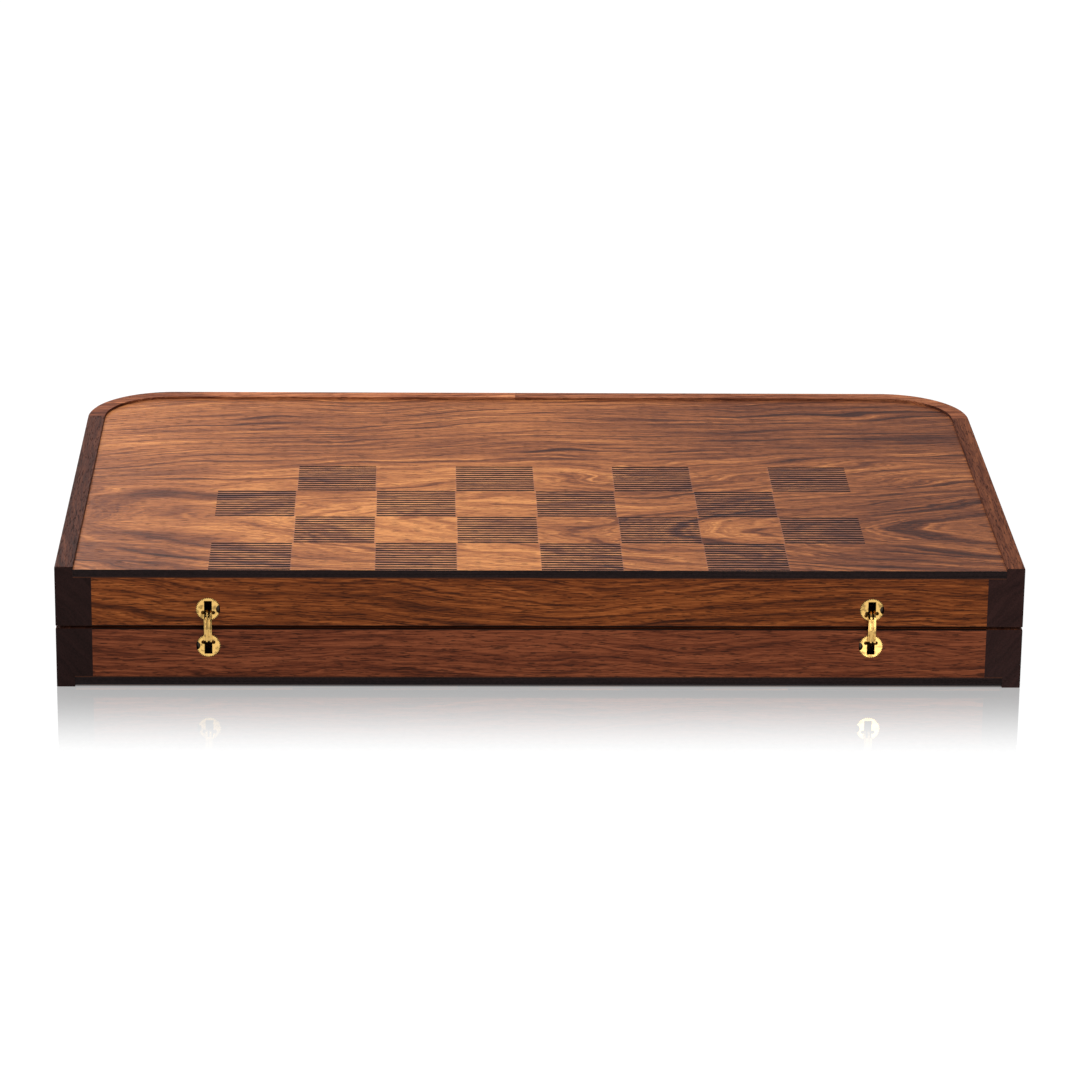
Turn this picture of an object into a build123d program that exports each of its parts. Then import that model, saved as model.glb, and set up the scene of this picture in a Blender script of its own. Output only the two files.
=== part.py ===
"""Folding backgammon case with checkers, dice and barrel hinges, as separate pieces.

The case stands closed. Each half is a shallow walnut tray whose outer face carries half of an
engraved 8 by 8 board, and whose inner face carries twelve inlaid points. Two barrel hinges in the
front faces let the upper half swing forward over the front. +X is right, +Y is the rounded back,
+Z is up, and the origin is at the middle of the box that the object fills, on the ground.
"""

import os
from math import cos, radians, sin

from build123d import *

# Case
CASE_WIDTH = 480.0
CASE_DEPTH = 292.0
HALF_HEIGHT = 31.0
PARTING_GAP = 1.2
CORNER_RADIUS = 45.0
WALL = 18.0
REBATE_WIDTH = 9.0
BACK_SEAM_X = -7.0
EDGE_ROUND = 0.5

# Panel of each half, from the outer face inwards
PANEL_RECESS = 1.4
OUTER_VENEER = 0.5
CORE = 3.3
FIELD_VENEER = 0.5
INLAY_GAP = 0.02

# Engraved chequered board on the outer faces
SQUARE = 41.2
BOARD_COLUMNS = 8
BOARD_ROWS = 4
GROOVES = 12
GROOVE_WIDTH = 1.75
GROOVE_DEPTH = 0.3
SQUARE_INSET = 0.4

# Points and checkers
POINTS_PER_SIDE = 6
POINT_LENGTH = 190.0
POINT_BASE_SHARE = 0.86
CHECKER_RADIUS = 18.0
CHECKER_THICKNESS = 9.0
CHECKER_PITCH = 36.6
CHECKERS_PER_ROW = 5
CHECKER_BEVEL = 1.0
CHECKER_TO_WALL = 1.0
DISH_RADIUS = 11.5
DISH_DEPTH = 0.8
DIE = 14.0
DIE_ROUND = 1.4
DIE_PIP_RADIUS = 1.25
DIE_PIP_DEPTH = 0.6
DIE_PIP_STEP = 3.64
DOUBLING_CUBE = 22.0
DOUBLING_CUBE_ROUND = 2.0

# Barrel hinges
HINGE_X = 164.6
BARREL_OFFSET = 9.6
BORE_RADIUS = 6.0
BARREL_RADIUS = 5.95
BARREL_LENGTH = 12.9
BORE_DEPTH = 13.0
KNURLS = 40
KNURL_SIDE = 0.5
SLOT_WIDTH = 3.9
SLOT_BEYOND_CENTRE = 4.3
SLOT_DEPTH = 12.0
RAIL_SLOT_TOP = 6.5
RAIL_SLOT_DEPTH = 2.2
GUIDE_HOLE_RADIUS = 1.0
GUIDE_HOLE_X = 2.5
GUIDE_HOLE_OFFSET = 1.8
GUIDE_HOLE_DEPTH = 2.0
SCREW_X = 6.3
SCREW_RADIUS = 2.3
SCREW_SINK = 1.8
SCREW_LENGTH = 8.0
PIN_RADIUS = 0.5
PIN_LENGTH = 4.9
PLATE = 0.9
PLATE_PITCH = 0.95
LINK_RADIUS = 1.0
DIMPLE = (-2.9, 3.0)
DIMPLE_RADIUS = 0.9

# A lower link's outline: depth behind the front face and height above the parting plane
LINK_PIVOT = (0.9, -4.7)
LINK_KNEE = (-3.5, -5.5)
LINK_CENTRE = (-2.8, 0.0)
LINK_SHOULDER = (-0.9, 5.8)
LINK_TAIL = (2.2, 8.0)

# Magnets in the parting faces at the back
MAGNET_X = 110.0
MAGNET_RADIUS = 4.0
MAGNET_LENGTH = 4.0
MAGNET_PROUD = 0.55
FIT = 0.05

# Worked out from the sizes above
PANEL = PANEL_RECESS + OUTER_VENEER + CORE + FIELD_VENEER
TOTAL_HEIGHT = 2 * HALF_HEIGHT + PARTING_GAP
MID = TOTAL_HEIGHT / 2
STAND_OUT = LINK_RADIUS - LINK_KNEE[0]
FRONT = STAND_OUT - (CASE_DEPTH + STAND_OUT) / 2
BACK = FRONT + CASE_DEPTH
SIDE = CASE_WIDTH / 2
INNER_SIDE = SIDE - WALL
POINT_PITCH = (CASE_DEPTH - 2 * WALL) / POINTS_PER_SIDE
PARTING_PLANE = Plane.XY.offset(MID)

os.makedirs("parts", exist_ok=True)


def save(piece, name):
    """Label a finished piece and write it."""
    piece.label = name
    export_step(piece, f"parts/{name}.step")


def save_both(piece, name):
    """Write a lower piece, and its mirror image in the parting plane as the upper one."""
    save(piece, f"lower_{name}")
    with BuildPart() as upper:
        mirror(piece, about=PARTING_PLANE)
    save(upper.part, f"upper_{name}")


def case_outline(inset, front):
    """The case seen from above, drawn in by inset: square at the front, rounded at the back."""
    back = BACK - inset
    with BuildSketch() as outline:
        with Locations((0, (front + back) / 2)):
            Rectangle(CASE_WIDTH - 2 * inset, back - front)
        fillet(outline.vertices().group_by(Axis.Y)[-1], CORNER_RADIUS - inset)
    return outline.sketch


def front_plane(x, z):
    """An upright plane on the front face, with its own x along +X and its own y along +Z."""
    return Plane(origin=(x, FRONT, z), x_dir=(1, 0, 0), z_dir=(0, -1, 0))


# ---------------------------------------------------------------- walls of one half

with BuildPart() as blank:
    add(case_outline(0, FRONT))
    extrude(amount=HALF_HEIGHT)
    fillet(blank.edges().group_by(Axis.Z)[0] + blank.edges().group_by(Axis.Z)[-1], EDGE_ROUND)


def wall_stretch(x_low, x_high, y_low, y_high):
    """The side and back wall inside a rectangle, with the rebate that the panel sits in."""
    with BuildPart() as stretch:
        with BuildSketch():
            with Locations(((x_low + x_high) / 2, (y_low + y_high) / 2)):
                Rectangle(x_high - x_low, y_high - y_low)
        extrude(amount=HALF_HEIGHT)
        add(blank.part, mode=Mode.INTERSECT)
        with BuildSketch():
            add(case_outline(WALL, FRONT - WALL))
        extrude(amount=HALF_HEIGHT, mode=Mode.SUBTRACT)
        with BuildSketch():
            add(case_outline(REBATE_WIDTH, FRONT - WALL))
        extrude(amount=PANEL, mode=Mode.SUBTRACT)
    return stretch.part


def corner_stretch(x_low, x_high, magnet_x):
    """A rounded corner with its share of the back wall, bored for a magnet."""
    with BuildPart() as corner:
        add(wall_stretch(x_low, x_high, BACK - CORNER_RADIUS, BACK))
        with BuildSketch(Plane.XY.offset(HALF_HEIGHT)):
            with Locations((magnet_x, BACK - WALL / 2)):
                Circle(MAGNET_RADIUS + FIT)
        extrude(amount=MAGNET_PROUD - MAGNET_LENGTH, mode=Mode.SUBTRACT)
    return corner.part


side_seam = BACK - CORNER_RADIUS
save_both(wall_stretch(-SIDE, -INNER_SIDE, FRONT, side_seam), "side_rail_left")
save_both(wall_stretch(INNER_SIDE, SIDE, FRONT, side_seam), "side_rail_right")
save_both(corner_stretch(-SIDE, BACK_SEAM_X, -MAGNET_X), "corner_left")
save_both(corner_stretch(BACK_SEAM_X, SIDE, MAGNET_X), "corner_right")

with BuildPart() as hinge_rail:
    with BuildSketch(Plane.XY.offset(PANEL)):
        with Locations((0, FRONT + WALL / 2)):
            Rectangle(2 * INNER_SIDE, WALL)
    extrude(amount=HALF_HEIGHT - PANEL)
    add(blank.part, mode=Mode.INTERSECT)
    for x in (-HINGE_X, HINGE_X):
        with BuildSketch(front_plane(x, MID - BARREL_OFFSET)):
            Circle(BORE_RADIUS)
        extrude(amount=-BORE_DEPTH, mode=Mode.SUBTRACT)
        with BuildSketch(front_plane(x, MID - BARREL_OFFSET)):
            with Locations((0, RAIL_SLOT_TOP / 2)):
                Rectangle(SLOT_WIDTH + 2 * FIT, RAIL_SLOT_TOP)
        extrude(amount=-RAIL_SLOT_DEPTH, mode=Mode.SUBTRACT)
save_both(hinge_rail.part, "hinge_rail")

with BuildPart() as magnets:
    with BuildSketch(Plane.XY.offset(HALF_HEIGHT + MAGNET_PROUD)):
        with Locations((-MAGNET_X, BACK - WALL / 2), (MAGNET_X, BACK - WALL / 2)):
            Circle(MAGNET_RADIUS)
    extrude(amount=-MAGNET_LENGTH)
save_both(magnets.part, "magnets")

# ---------------------------------------------------------------- panel of one half


def panel_layer(low, thickness):
    """One layer of the panel, flush with the front face and set into the rebate."""
    with BuildPart() as layer:
        with BuildSketch(Plane.XY.offset(low)):
            add(case_outline(REBATE_WIDTH + FIT, FRONT))
        extrude(amount=thickness)
    return layer.part


def outer_veneer(first_dark):
    """The outer veneer: dark squares are grooves along X, and start at the given parity."""
    start = -BOARD_COLUMNS / 2 * SQUARE
    span = SQUARE - 2 * SQUARE_INSET
    pitch = (span - GROOVE_WIDTH) / (GROOVES - 1)
    with BuildPart() as veneer:
        add(panel_layer(PANEL_RECESS, OUTER_VENEER))
        with BuildSketch(Plane.XY.offset(PANEL_RECESS)):
            for row in range(BOARD_ROWS):
                middle_y = FRONT + (row + 0.5) * SQUARE
                for column in range((row + first_dark) % 2, BOARD_COLUMNS, 2):
                    middle_x = start + (column + 0.5) * SQUARE
                    with Locations((middle_x, middle_y)):
                        with GridLocations(0, pitch, 1, GROOVES):
                            Rectangle(span, GROOVE_WIDTH)
        extrude(amount=GROOVE_DEPTH, mode=Mode.SUBTRACT)
    return veneer.part


save(outer_veneer(1), "lower_outer_veneer")
with BuildPart() as upper_outer_veneer:
    mirror(outer_veneer(0), about=PARTING_PLANE)
save(upper_outer_veneer.part, "upper_outer_veneer")
save_both(panel_layer(PANEL_RECESS + OUTER_VENEER, CORE), "panel_core")


def points(first, margin):
    """Every second point from both short sides, each a thin inlaid triangle."""
    base = POINT_PITCH * POINT_BASE_SHARE / 2 + margin
    with BuildPart() as inlay:
        with BuildSketch(Plane.XY.offset(PANEL - FIELD_VENEER)):
            for side in (-1, 1):
                for index in range(first if side < 0 else 1 - first, POINTS_PER_SIDE, 2):
                    y = FRONT + WALL + (index + 0.5) * POINT_PITCH
                    tip = side * (INNER_SIDE - POINT_LENGTH - margin)
                    foot = side * (INNER_SIDE + margin)
                    with BuildLine():
                        Polyline((foot, y - base), (foot, y + base), (tip, y), close=True)
                    make_face()
        extrude(amount=FIELD_VENEER)
    return inlay.part


with BuildPart() as field_veneer:
    add(panel_layer(PANEL - FIELD_VENEER, FIELD_VENEER))
    add(points(0, INLAY_GAP), mode=Mode.SUBTRACT)
    add(points(1, INLAY_GAP), mode=Mode.SUBTRACT)
save_both(field_veneer.part, "field_veneer")
save_both(points(0, 0), "points_light")
save_both(points(1, 0), "points_dark")

# ---------------------------------------------------------------- barrel hinges


def barrel(x, screw_side, dimple):
    """A knurled barrel set into the lower front face, slotted towards the parting plane."""
    plane = front_plane(x, MID - BARREL_OFFSET)
    slot_top = BARREL_RADIUS + 1
    with BuildPart() as body:
        with BuildSketch(plane):
            Circle(BARREL_RADIUS)
            with PolarLocations(BARREL_RADIUS, KNURLS):
                Rectangle(KNURL_SIDE, KNURL_SIDE, rotation=45, mode=Mode.SUBTRACT)
        extrude(amount=-BARREL_LENGTH)
        with BuildSketch(plane):
            with Locations((0, (slot_top - SLOT_BEYOND_CENTRE) / 2)):
                Rectangle(SLOT_WIDTH, slot_top + SLOT_BEYOND_CENTRE)
        extrude(amount=-SLOT_DEPTH, mode=Mode.SUBTRACT)
        with BuildSketch(plane):
            with Locations((screw_side * SCREW_X, 0)):
                Circle(SCREW_RADIUS + FIT)
        extrude(amount=-SCREW_SINK - SCREW_LENGTH, mode=Mode.SUBTRACT)
        with BuildSketch(plane):
            with Locations((-GUIDE_HOLE_X, GUIDE_HOLE_OFFSET), (GUIDE_HOLE_X, GUIDE_HOLE_OFFSET)):
                Circle(GUIDE_HOLE_RADIUS)
            if dimple:
                with Locations(DIMPLE):
                    Circle(DIMPLE_RADIUS)
        extrude(amount=-GUIDE_HOLE_DEPTH, mode=Mode.SUBTRACT)
        with BuildSketch(Plane.YZ.offset(x)):
            with Locations((FRONT + LINK_PIVOT[0], MID + LINK_PIVOT[1])):
                Circle(PIN_RADIUS)
        extrude(amount=BARREL_RADIUS, both=True, mode=Mode.SUBTRACT)
    return body.part


def expansion_screw(x, screw_side):
    """The wedge screw in the barrel's rim that locks it in the wood."""
    with BuildPart() as screw:
        with BuildSketch(front_plane(x, MID - BARREL_OFFSET)):
            Circle(BARREL_RADIUS - KNURL_SIDE)
            with Locations((screw_side * SCREW_X, 0)):
                Circle(SCREW_RADIUS, mode=Mode.INTERSECT)
        extrude(amount=-SCREW_SINK - SCREW_LENGTH)
        with BuildSketch(front_plane(x, MID - BARREL_OFFSET)):
            Circle(BARREL_RADIUS)
        extrude(amount=-SCREW_SINK, mode=Mode.SUBTRACT)
    return screw.part


def pivot_pin(x):
    """The pin across a barrel's slot that its own pair of links turns on."""
    with BuildPart() as pin:
        with BuildSketch(Plane.YZ.offset(x)):
            with Locations((FRONT + LINK_PIVOT[0], MID + LINK_PIVOT[1])):
                Circle(PIN_RADIUS)
        extrude(amount=PIN_LENGTH / 2, both=True)
    return pin.part


def rivets(plates):
    """The centre rivet, as much of it as lies in the plates at the given X positions."""
    with BuildPart() as rivet:
        for plate_x in plates:
            with BuildSketch(Plane.YZ.offset(plate_x)):
                with Locations((FRONT + LINK_CENTRE[0], MID + LINK_CENTRE[1])):
                    Circle(PIN_RADIUS)
            extrude(amount=PLATE / 2, both=True)
    return rivet.part


def arm(start, end):
    """A straight stretch of a link with round ends."""
    with BuildSketch() as stretch:
        with Locations(start, end):
            Circle(LINK_RADIUS)
        make_hull()
    return stretch.sketch


def links(plates, centre_hole):
    """Boomerang plates of a lower link at the given X positions, bored for their pins."""
    route = [LINK_PIVOT, LINK_KNEE, LINK_CENTRE, LINK_SHOULDER, LINK_TAIL]
    with BuildPart() as pair:
        for plate_x in plates:
            with BuildSketch(Plane(origin=(plate_x, FRONT, MID), x_dir=(0, 1, 0), z_dir=(1, 0, 0))):
                for start, end in zip(route, route[1:]):
                    add(arm(start, end))
                with Locations(LINK_PIVOT):
                    Circle(PIN_RADIUS + FIT, mode=Mode.SUBTRACT)
                if centre_hole:
                    with Locations(LINK_CENTRE):
                        Circle(PIN_RADIUS, mode=Mode.SUBTRACT)
            extrude(amount=PLATE / 2, both=True)
    return pair.part


for side_name, hinge_x in (("left", -HINGE_X), ("right", HINGE_X)):
    lower_plates = [hinge_x - PLATE_PITCH / 2, hinge_x + 1.5 * PLATE_PITCH]
    upper_plates = [hinge_x - 1.5 * PLATE_PITCH, hinge_x + PLATE_PITCH / 2]
    lower_pieces = {
        "barrel": barrel(hinge_x, -1, False),
        "expansion_screw": expansion_screw(hinge_x, -1),
        "pivot_pin": pivot_pin(hinge_x),
        "links": links(lower_plates, True),
    }
    upper_pieces = {
        "barrel": barrel(hinge_x, 1, side_name == "right"),
        "expansion_screw": expansion_screw(hinge_x, 1),
        "pivot_pin": pivot_pin(hinge_x),
        "links": links(upper_plates, False),
    }
    for piece_name, piece in lower_pieces.items():
        save(piece, f"{side_name}_lower_{piece_name}")
    for piece_name, piece in upper_pieces.items():
        with BuildPart() as mirrored:
            mirror(piece, about=PARTING_PLANE)
        save(mirrored.part, f"{side_name}_upper_{piece_name}")
    save(rivets(lower_plates), f"{side_name}_centre_rivet")

# ---------------------------------------------------------------- loose contents


def checker_row(side, y):
    """Five checkers side by side on one point, each dished on both faces."""
    bottom = PANEL
    top = PANEL + CHECKER_THICKNESS
    with BuildPart() as row:
        for index in range(CHECKERS_PER_ROW):
            x = side * (INNER_SIDE - CHECKER_RADIUS - CHECKER_TO_WALL - index * CHECKER_PITCH)
            rim = x + CHECKER_RADIUS
            with BuildSketch(Plane.XZ.offset(-y)):
                with BuildLine():
                    Polyline(
                        (x, bottom + DISH_DEPTH),
                        (x + DISH_RADIUS, bottom),
                        (rim - CHECKER_BEVEL, bottom),
                        (rim, bottom + CHECKER_BEVEL),
                        (rim, top - CHECKER_BEVEL),
                        (rim - CHECKER_BEVEL, top),
                        (x + DISH_RADIUS, top),
                        (x, top - DISH_DEPTH),
                        close=True,
                    )
                make_face()
            revolve(axis=Axis((x, y, 0), (0, 0, 1)))
    return row.part


for colour_name, side in (("light", -1), ("dark", 1)):
    for row_index in range(3):
        row_y = FRONT + WALL + (2 * row_index + 0.5) * POINT_PITCH
        save(checker_row(side, row_y), f"{colour_name}_checkers_{row_index + 1}")

PIPS = {
    1: [(0, 0)],
    2: [(-1, -1), (1, 1)],
    3: [(-1, -1), (0, 0), (1, 1)],
    4: [(-1, -1), (1, 1), (-1, 1), (1, -1)],
    5: [(-1, -1), (1, 1), (-1, 1), (1, -1), (0, 0)],
    6: [(-1, -1), (1, 1), (-1, 1), (1, -1), (-1, 0), (1, 0)],
}


def die(x, y, turn):
    """A die with rounded edges and drilled pips, opposite faces adding up to seven."""
    centre = Vector(x, y, PANEL + DIE / 2)
    across = Vector(cos(radians(turn)), sin(radians(turn)), 0)
    ahead = Vector(-sin(radians(turn)), cos(radians(turn)), 0)
    up = Vector(0, 0, 1)
    faces = [(up, 6), (up * -1, 1), (across, 5), (across * -1, 2), (ahead, 4), (ahead * -1, 3)]
    with BuildPart() as cube:
        with BuildSketch(Plane(origin=centre - up * (DIE / 2), x_dir=across, z_dir=up)):
            Rectangle(DIE, DIE)
        extrude(amount=DIE)
        fillet(cube.edges(), DIE_ROUND)
        for normal, count in faces:
            side_dir = across if abs(normal.Z) > 0.5 else up
            with BuildSketch(Plane(origin=centre + normal * (DIE / 2), x_dir=side_dir, z_dir=normal)):
                with Locations([(DIE_PIP_STEP * i, DIE_PIP_STEP * j) for i, j in PIPS[count]]):
                    Circle(DIE_PIP_RADIUS)
            extrude(amount=-DIE_PIP_DEPTH, mode=Mode.SUBTRACT)
    return cube.part


# Each die's place from the middle of the tray, and its turn in degrees
DICE = {
    "light_die_1": (-12.0, -62.0, 14.0),
    "light_die_2": (10.0, -44.0, -22.0),
    "dark_die_1": (-9.0, 52.0, 31.0),
    "dark_die_2": (13.0, 70.0, -8.0),
}
middle_y = FRONT + CASE_DEPTH / 2
for die_name, (die_x, die_y, die_turn) in DICE.items():
    save(die(die_x, middle_y + die_y, die_turn), die_name)

with BuildPart() as doubling_cube:
    with BuildSketch(Plane.XY.offset(PANEL)):
        with Locations((0, middle_y)):
            Rectangle(DOUBLING_CUBE, DOUBLING_CUBE)
    extrude(amount=DOUBLING_CUBE)
    fillet(doubling_cube.edges(), DOUBLING_CUBE_ROUND)
save(doubling_cube.part, "doubling_cube")
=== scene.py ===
"""Finishes for a folding walnut backgammon case, laid out as an add-on.

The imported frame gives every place. Lengths are in metres unless a property says otherwise.
"""

import math
from collections import namedtuple

import bmesh
import bpy
from mathutils import Matrix, Vector


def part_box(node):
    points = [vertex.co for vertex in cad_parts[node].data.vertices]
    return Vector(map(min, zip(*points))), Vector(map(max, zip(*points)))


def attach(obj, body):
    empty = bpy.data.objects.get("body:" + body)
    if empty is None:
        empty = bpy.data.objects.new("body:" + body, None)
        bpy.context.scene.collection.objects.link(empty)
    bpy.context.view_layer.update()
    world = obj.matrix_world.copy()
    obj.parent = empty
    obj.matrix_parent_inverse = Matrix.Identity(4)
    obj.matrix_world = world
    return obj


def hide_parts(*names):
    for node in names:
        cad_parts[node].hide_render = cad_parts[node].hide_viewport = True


bl_info = {
    "name": "Backgammon Case",
    "version": (1, 0, 0),
    "blender": (4, 5, 0),
    "location": "3D View > Sidebar > Backgammon",
    "description": "Finishes and small pieces for a folding backgammon case",
    "category": "Object",
}

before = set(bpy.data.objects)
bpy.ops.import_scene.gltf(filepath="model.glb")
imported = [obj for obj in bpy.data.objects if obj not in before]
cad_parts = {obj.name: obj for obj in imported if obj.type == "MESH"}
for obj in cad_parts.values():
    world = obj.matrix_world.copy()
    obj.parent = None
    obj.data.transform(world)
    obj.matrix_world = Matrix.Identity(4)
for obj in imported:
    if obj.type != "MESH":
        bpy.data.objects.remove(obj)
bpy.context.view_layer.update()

MM = 0.001
WHITE = (1.0, 1.0, 1.0, 1.0)
HALVES = ("lower", "upper")
SIDES = ("left", "right")

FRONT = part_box("lower_hinge_rail")[0][1]
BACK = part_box("lower_corner_left")[1][1]
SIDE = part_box("lower_side_rail_right")[1][0]
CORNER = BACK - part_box("lower_side_rail_left")[1][1]
TOTAL_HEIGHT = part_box("upper_side_rail_left")[1][2]
MIDDLE = TOTAL_HEIGHT / 2
UPPER_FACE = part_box("upper_outer_veneer")[1][2]
LOWER_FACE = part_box("lower_outer_veneer")[0][2]


# ---------------------------------------------------------------- shader arithmetic


class Value:
    """One socket of a node tree. Arithmetic on it adds Math nodes."""

    def __init__(self, nodes, socket):
        self.nodes = nodes
        self.socket = socket

    def __add__(self, other):
        return self.nodes.math("ADD", self, other)

    __radd__ = __add__

    def __sub__(self, other):
        return self.nodes.math("SUBTRACT", self, other)

    def __rsub__(self, other):
        return self.nodes.math("SUBTRACT", other, self)

    def __mul__(self, other):
        return self.nodes.math("MULTIPLY", self, other)

    __rmul__ = __mul__

    def __truediv__(self, other):
        return self.nodes.math("DIVIDE", self, other)

    def __pow__(self, other):
        return self.nodes.math("POWER", self, other)


class Nodes:
    """A node tree with one method that adds any node."""

    def __init__(self, tree):
        self.tree = tree

    def feed(self, socket, value):
        """Link a Value to a socket, or set a plain number, colour or vector on it."""
        if isinstance(value, Value):
            self.tree.links.new(value.socket, socket)
        else:
            socket.default_value = value

    def node(self, kind, settings=None, inputs=None, output=0):
        """Add a node: its settings first, then its sockets by name or number."""
        node = self.tree.nodes.new(kind)
        for key, value in (settings or {}).items():
            if key == "stops":
                elements = node.color_ramp.elements
                while len(elements) < len(value):
                    elements.new(0.5)
                for element, (place, colour) in zip(elements, value):
                    element.position = place
                    element.color = colour
            else:
                setattr(node, key, value)
        for key, value in (inputs or {}).items():
            self.feed(node.inputs[key], value)
        return Value(self, node.outputs[output])

    def math(self, operation, *values):
        inputs = dict(enumerate(values))
        return self.node("ShaderNodeMath", {"operation": operation}, inputs)

    def join(self, x, y, z):
        return self.node("ShaderNodeCombineXYZ", None, {0: x, 1: y, 2: z})


class Finish(Nodes):
    """A material with one Principled shader, and short ways to add nodes in front of it."""

    def __init__(self, name, constants):
        self.material = bpy.data.materials.new(name)
        self.material.use_nodes = True
        super().__init__(self.material.node_tree)
        self.tree.nodes.clear()
        self.output = self.tree.nodes.new("ShaderNodeOutputMaterial")
        self.shader = self.tree.nodes.new("ShaderNodeBsdfPrincipled")
        self.tree.links.new(self.shader.outputs[0], self.output.inputs[0])
        for key, value in constants.items():
            self.shader.inputs[key].default_value = value

    def split(self, vector):
        """The three numbers of a vector."""
        first = self.node("ShaderNodeSeparateXYZ", None, {0: vector})
        outputs = first.socket.node.outputs
        return [Value(self, outputs[index]) for index in range(3)]

    def place(self):
        """The point's own coordinates in the row's frame."""
        return self.node("ShaderNodeTexCoord", output="Object")

    def facing(self):
        """The surface's direction in the piece's own frame."""
        return self.node("ShaderNodeTexCoord", output="Normal")

    def noise(self, place, detail, roughness=0.5):
        """Noise at a place of three numbers, with features about one unit across."""
        inputs = {"Vector": self.join(*place), "Scale": 1.0, "Detail": detail,
                  "Roughness": roughness}
        return self.node("ShaderNodeTexNoise", None, inputs)

    def ramp(self, factor, stops):
        """A colour for each place along a factor. Each stop is (place, (red, green, blue))."""
        stops = [(place, (*colour, 1.0)) for place, colour in stops]
        return self.node("ShaderNodeValToRGB", {"stops": stops}, {0: factor})

    def rise(self, value, low, high, start=0.0, end=1.0):
        """A smooth step from start, below low, to end, above high."""
        settings = {"interpolation_type": "SMOOTHSTEP"}
        inputs = {0: value, 1: low, 2: high, 3: start, 4: end}
        return self.node("ShaderNodeMapRange", settings, inputs)

    def blend(self, factor, first, second):
        """Mix two colours; a plain colour is (red, green, blue)."""
        first, second = (c if isinstance(c, Value) else (*c, 1.0) for c in (first, second))
        inputs = {0: factor, 6: first, 7: second}
        return self.node("ShaderNodeMix", {"data_type": "RGBA"}, inputs, output=2)

    def bump(self, height, distance, strength=1.0):
        inputs = {"Height": height, "Distance": distance, "Strength": strength}
        self.set("Normal", self.node("ShaderNodeBump", None, inputs))

    def set(self, socket, value):
        self.feed(self.shader.inputs[socket], value)

    def assign(self, *nodes):
        """Give this finish to CAD nodes or new pieces."""
        for item in nodes:
            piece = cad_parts[item] if isinstance(item, str) else item
            piece.data.materials.clear()
            piece.data.materials.append(self.material)


def shade(red, green, blue):
    """A linear colour from display values of 0 to 255."""
    return tuple(((value / 255 + 0.055) / 1.055) ** 2.4 if value > 10 else value / 3294.6
                 for value in (red, green, blue))


# ---------------------------------------------------------------- repeated shapes


class Pattern(Nodes):
    """A Geometry Nodes tree that repeats a shape. Its inputs are named, with their types."""

    def __init__(self, name, inputs):
        super().__init__(bpy.data.node_groups.new(name, "GeometryNodeTree"))
        interface = self.tree.interface
        interface.new_socket("Geometry", in_out="INPUT", socket_type="NodeSocketGeometry")
        for label, kind in inputs.items():
            interface.new_socket(label, in_out="INPUT", socket_type=kind)
        interface.new_socket("Geometry", in_out="OUTPUT", socket_type="NodeSocketGeometry")
        self.entry = self.tree.nodes.new("NodeGroupInput")

    def given(self, label):
        return Value(self, self.entry.outputs[label])

    def finish(self, instances):
        """Turn the instances into plain faces with the given material."""
        solid = self.node("GeometryNodeRealizeInstances", None, {0: instances})
        inputs = {"Geometry": solid, "Material": self.given("Material")}
        coated = self.node("GeometryNodeSetMaterial", None, inputs)
        end = self.tree.nodes.new("NodeGroupOutput")
        self.feed(end.inputs[0], coated)

    def run(self, name, mesh, values):
        """Run the tree on a mesh and return a piece that holds the result as a plain mesh."""
        piece = new_piece(name, mesh)
        modifier = piece.modifiers.new(name, "NODES")
        modifier.node_group = self.tree
        for item in self.tree.interface.items_tree:
            if item.in_out == "INPUT" and item.name in values:
                modifier[item.identifier] = values[item.name]
        graph = bpy.context.evaluated_depsgraph_get()
        result = bpy.data.meshes.new_from_object(piece.evaluated_get(graph))
        piece.modifiers.remove(modifier)
        piece.data = result
        if not result.polygons:
            raise RuntimeError(f"{name} came out empty")
        return piece


def new_piece(name, mesh):
    """A new object at the origin, in the scene."""
    piece = bpy.data.objects.new(name, mesh)
    bpy.context.scene.collection.objects.link(piece)
    return piece


def marks(name, spots, facings=None):
    """A mesh of bare points, each with an optional direction."""
    mesh = bpy.data.meshes.new(name)
    mesh.from_pydata(spots, [], [])
    if facings:
        attribute = mesh.attributes.new("facing", "FLOAT_VECTOR", "POINT")
        for value, facing in zip(attribute.data, facings):
            value.vector = facing
    return mesh


def engraving_pattern():
    """Lining strips side by side in each square."""
    pattern = Pattern("engraved_squares", {
        "Strip": "NodeSocketObject", "Grooves": "NodeSocketInt", "Pitch": "NodeSocketFloat",
        "Material": "NodeSocketMaterial"})
    pitch = pattern.given("Pitch")
    grooves = pattern.given("Grooves")
    start = (grooves - 1) * pitch * -0.5
    line = pattern.node("GeometryNodeMeshLine", {"mode": "OFFSET"}, {
        "Count": grooves, "Start Location": pattern.join(0.0, start, 0.0),
        "Offset": pattern.join(0.0, pitch, 0.0)})
    strip = pattern.node("GeometryNodeObjectInfo", None, {"Object": pattern.given("Strip")},
                         output="Geometry")
    square = pattern.node("GeometryNodeInstanceOnPoints", None,
                          {"Points": line, "Instance": strip})
    squares = pattern.node("GeometryNodeInstanceOnPoints", None,
                           {"Points": pattern.given("Geometry"), "Instance": square})
    pattern.finish(squares)
    return pattern


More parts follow.
